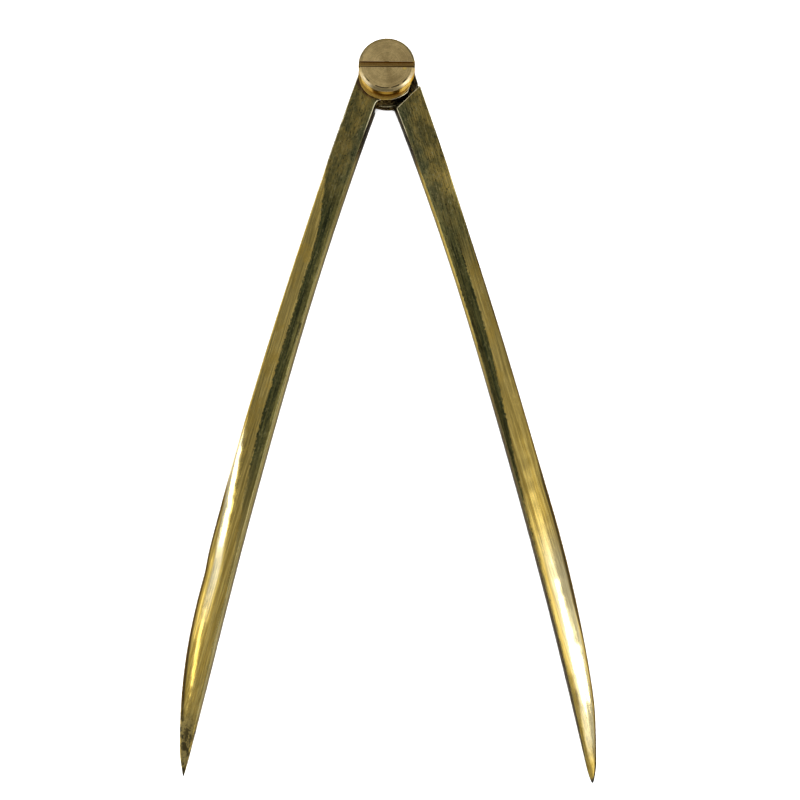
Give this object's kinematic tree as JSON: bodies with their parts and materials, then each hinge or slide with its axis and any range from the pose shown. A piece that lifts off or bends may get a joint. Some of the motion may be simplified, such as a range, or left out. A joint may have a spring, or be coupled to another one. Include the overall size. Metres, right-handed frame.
{
  "type": "dividers",
  "caption": "Solid brass dividers: two bowed, pointed legs in a half-lap joint, held by a washer and a pivot screw with a large slotted round head.",
  "frame": {"origin": "where the pivot axis meets the plane of the back faces that the tool lies on", "axes": "+Z along the pivot axis, out of the slotted head; -Y from the pivot towards the points, half way between the legs; +X towards the right leg, seen from the head side"},
  "size_m": [0.1057, 0.1964, 0.0093],
  "materials": {
    "leg_brass": "aged, olive tarnish on the flats, rubbed bright towards the points",
    "washer_brass": "satin",
    "screw_brass": "turned, dull"
  },
  "bodies": {
    "right_leg": {"leg_right": "leg_brass", "pivot_screw": "screw_brass", "head_washer": "washer_brass"},
    "left_leg": {"leg_left": "leg_brass"}
  },
  "joints": [
    {"name": "leg_pivot", "type": "hinge", "parent": "right_leg", "child": "left_leg", "pos_m": [0, 0, 0.0043], "axis": [0, 0, -1], "range_deg": [-30.4, 149.3]}
  ]
}
